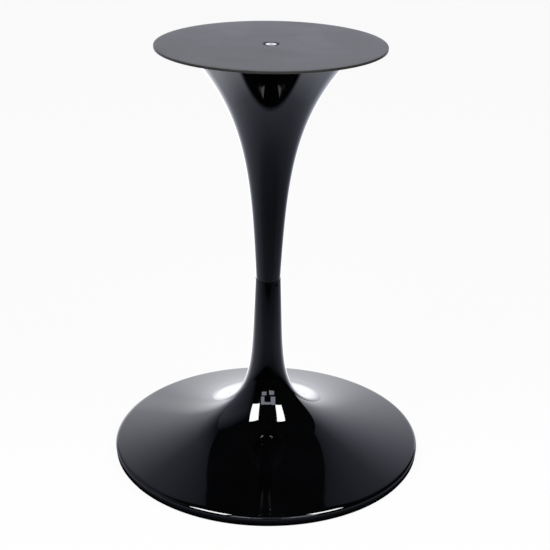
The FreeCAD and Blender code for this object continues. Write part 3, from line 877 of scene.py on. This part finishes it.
def make_window_glow():
    """Grey daylight, which is too weak to show in a second mirror."""
    material, tree, glow, _ = new_glow("window_glow")
    glow.inputs["Color"].default_value = WINDOW_TINT
    shine_by_mirror(tree, glow, WINDOW_GLOW, 0.0)
    return material


def clear_except(tree, share, glow):
    """Let light through a card, except for a share of the rays, which see its glow."""
    clear = tree.nodes.new("ShaderNodeBsdfTransparent")
    both = add_node(tree, "ShaderNodeMixShader", {0: share, 1: clear.outputs[0], 2: glow.outputs[0]})
    tree.links.new(both.outputs[0], tree.nodes["Material Output"].inputs["Surface"])


def make_screen_sheen():
    """A faint grey glow, a painted sheen for the plate close by, and clear to everything else."""
    material, tree, glow, coordinates = new_glow("screen_sheen")
    glow.inputs["Color"].default_value = WINDOW_TINT
    glow.inputs["Strength"].default_value = SCREEN_GLOW
    rays = tree.nodes.new("ShaderNodeLightPath")
    near = math_node(tree, "LESS_THAN", rays.outputs["Ray Length"], SCREEN_REACH)
    in_front = math_node(tree, "LESS_THAN", apart(tree, coordinates)[1], SCREEN_BACK)
    once = math_node(tree, "SUBTRACT", 1.0, mirrored_twice(tree))
    share = math_node(tree, "MULTIPLY", math_node(tree, "MULTIPLY", near, in_front), once)
    clear_except(tree, share, glow)
    return material


def make_backdrop_glow():
    """Brightest low down, darker at the left end, with a lit spot on the left."""
    material, tree, glow, coordinates = new_glow("backdrop_glow")
    place = apart(tree, coordinates)
    height, left = graded(tree, place[2], BACKDROP_HEIGHT), graded(tree, place[0], BACKDROP_LEFT)
    lit_spot = graded(tree, distance(tree, coordinates, BACKDROP_SPOT_PLACE), BACKDROP_SPOT_GLOW)
    shine(tree, glow, math_node(tree, "ADD", math_node(tree, "MULTIPLY", height, left), lit_spot))
    return material


def make_wall_glow():
    """Grey that fades towards the viewer and the ceiling."""
    material, tree, glow, coordinates = new_glow("wall_glow")
    place = apart(tree, coordinates)
    depth, height = graded(tree, place[1], WALL_DEPTH), graded(tree, place[2], WALL_HEIGHT)
    shine(tree, glow, math_node(tree, "MULTIPLY", depth, height))
    return material


def show_to_gloss_alone(card):
    card.visible_camera = False
    card.visible_diffuse = False
    card.visible_shadow = False


def hang_card(name, corners, material):
    """A flat card that only the gloss of the object sees."""
    card = new_piece(name)
    card.data.from_pydata(corners, [], [tuple(range(len(corners)))])
    card.data.materials.append(material)
    show_to_gloss_alone(card)


def standing(start, end):
    """Corners of a card that stands on the floor between two places, as tall as the setting."""
    return [(*start, 0), (*end, 0), (*end, SETTING_HEIGHT), (*start, SETTING_HEIGHT)]


def hang_plate_screen():
    """A band in the air round the plate that only the plate's gloss sees."""
    band = straight(spot(SCREEN_RADIUS, SCREEN_FOOT), spot(SCREEN_RADIUS, SCREEN_TOP))
    show_to_gloss_alone(turned_piece("plate_screen", [(band, LINE_ROWS, make_screen_sheen())]))


def make_paper_floor():
    """White paper: even white with a faint shadow to the camera, and in the gloss a painted glow, as bright as
    it was lit, with a painted shadow round the foot's rim.
    """
    edge = PAPER_HALF
    corners = [(-edge, -edge, 0), (edge, -edge, 0), (edge, edge, 0), (-edge, edge, 0)]
    floor = new_piece("paper_floor")
    floor.data.from_pydata(corners, [], [tuple(range(len(corners)))])
    material = bpy.data.materials.new("paper")
    material.use_nodes = True
    tree = material.node_tree
    shader = tree.nodes["Principled BSDF"]
    shader.inputs["Base Color"].default_value = PAPER_COLOUR
    shader.inputs["Roughness"].default_value = PAPER_ROUGHNESS
    shader.inputs["Specular IOR Level"].default_value = 0.0
    rays = tree.nodes.new("ShaderNodeLightPath")
    coordinates = tree.nodes.new("ShaderNodeTexCoord").outputs["Object"]
    place = apart(tree, coordinates)
    bearing = math_node(tree, "DIVIDE", place[0], place[1])
    pool = graded(tree, distance(tree, coordinates, POOL_PLACE), POOL_GLOW)
    sheen_across, sheen_along = graded(tree, bearing, SHEEN_BEARING), graded(tree, place[1], SHEEN_DEPTH)
    sheen = math_node(tree, "MULTIPLY", sheen_across, sheen_along)
    paper = math_node(tree, "ADD", math_node(tree, "ADD", graded(tree, place[1], PAPER_DEPTH), pool), sheen)
    from_axis = distance(tree, coordinates, (0, 0, 0))
    # The last factor is the painted shadow round the foot's rim
    for value, stops in ((place[1], PAPER_FRONT), (place[0], PAPER_SIDES), (from_axis, PAPER_RIM_SHADOW)):
        paper = math_node(tree, "MULTIPLY", paper, graded(tree, value, stops))
    far_off = math_node(tree, "GREATER_THAN", rays.outputs["Ray Length"], PAPER_TWICE_FROM)
    left_over = spread(tree, math_node(tree, "MULTIPLY", mirrored_twice(tree), far_off), 1.0, PAPER_TWICE)
    mirrored = tree.nodes.new("ShaderNodeEmission")
    shine(tree, mirrored, math_node(tree, "MULTIPLY", paper, left_over))
    white = add_node(tree, "ShaderNodeEmission", {"Strength": PAPER_WHITE})
    white_share = math_node(tree, "MULTIPLY", rays.outputs["Is Camera Ray"], 1 - SHADOW_SHARE)
    seen = add_node(tree, "ShaderNodeMixShader", {0: white_share, 1: shader.outputs[0], 2: white.outputs[0]})
    gloss = math_node(tree, "MAXIMUM", rays.outputs["Is Glossy Ray"], rays.outputs["Is Transmission Ray"])
    both = add_node(tree, "ShaderNodeMixShader", {0: gloss, 1: seen.outputs[0], 2: mirrored.outputs[0]})
    tree.links.new(both.outputs[0], tree.nodes["Material Output"].inputs["Surface"])
    floor.data.materials.append(material)


def make_world():
    """White to the camera, a dark room in the gloss, and a plain fill for everything else."""
    world = bpy.data.worlds.new("studio")
    world.use_nodes = True
    tree = world.node_tree
    background = tree.nodes["Background"]
    background.inputs["Color"].default_value = WHITE
    rays = tree.nodes.new("ShaderNodeLightPath")
    fill = add_node(tree, "ShaderNodeMix", {0: rays.outputs["Is Glossy Ray"], 2: FILL_LIGHT, 3: ROOM_DARK})
    strength = add_node(tree, "ShaderNodeMix", {
        0: rays.outputs["Is Camera Ray"], 2: fill.outputs[0], 3: PAPER_FAR})
    tree.links.new(strength.outputs[0], background.inputs["Strength"])
    scene.world = world


def towards(azimuth, elevation):
    """The direction of a light from the foot, its angles in degrees."""
    turn, rise = math.radians(azimuth), math.radians(elevation)
    return Vector((math.sin(turn) * math.cos(rise), -math.cos(turn) * math.cos(rise), math.sin(rise)))


def seen_corners(angles, reach):
    return [LIGHTS_SEEN_FROM + towards(*corner) * reach for corner in angles]


def make_lamp(name, angles):
    """A soft lamp in line with a softbox, for plain light on the object."""
    lamp = bpy.data.lights.new(name, "AREA")
    lamp.shape = "RECTANGLE"
    lamp.size = LAMP_WIDTH
    lamp.size_y = LAMP_HEIGHT
    lamp.energy = LAMP_POWER
    holder = bpy.data.objects.new(name, lamp)
    holder.location = sum(seen_corners(angles, SOFTBOX_DISTANCE), Vector()) / len(angles)
    holder.rotation_euler = (LAMP_AIM - holder.location).to_track_quat("-Z", "Y").to_euler()
    holder.visible_glossy = False
    holder.visible_camera = False
    scene.collection.objects.link(holder)


make_paper_floor()
make_world()
back_left, back_right = (WALL_PLACE, BACKDROP_PLACE), (-WALL_PLACE, BACKDROP_PLACE)
front_left = (WALL_PLACE, -BACKDROP_PLACE)
hang_card("backdrop", standing(back_left, back_right), make_backdrop_glow())
hang_card("left_wall", standing(front_left, back_left), make_wall_glow())
hang_plate_screen()
softbox_glow = make_softbox_glow()
for name, angles in SOFTBOXES.items():
    hang_card(name, seen_corners(angles, SOFTBOX_DISTANCE), softbox_glow)
    make_lamp(name + "_lamp", angles)
window_glow = make_window_glow()
for name, angles in WINDOW_PANES.items():
    hang_card(name, seen_corners(angles, WINDOW_DISTANCE), window_glow)

# Camera at the photograph's place
CAMERA_PLACE = (0, -1.9087, 1.1121)
CAMERA_LENS = 82.11
CAMERA_SENSOR = 36
CAMERA_PITCH = 0.3948
CAMERA_YAW = 0.0058
CAMERA_ROLL = 0.0143
lens = bpy.data.cameras.new("camera")
lens.lens = CAMERA_LENS
lens.sensor_width = CAMERA_SENSOR
camera = bpy.data.objects.new("camera", lens)
camera.matrix_world = (Matrix.Translation(CAMERA_PLACE) @ Matrix.Rotation(-CAMERA_YAW, 4, "Z")
                       @ Matrix.Rotation(math.pi / 2 - CAMERA_PITCH, 4, "X")
                       @ Matrix.Rotation(CAMERA_ROLL, 4, "Z"))
scene.collection.objects.link(camera)
scene.camera = camera
scene.view_settings.view_transform = "Standard"
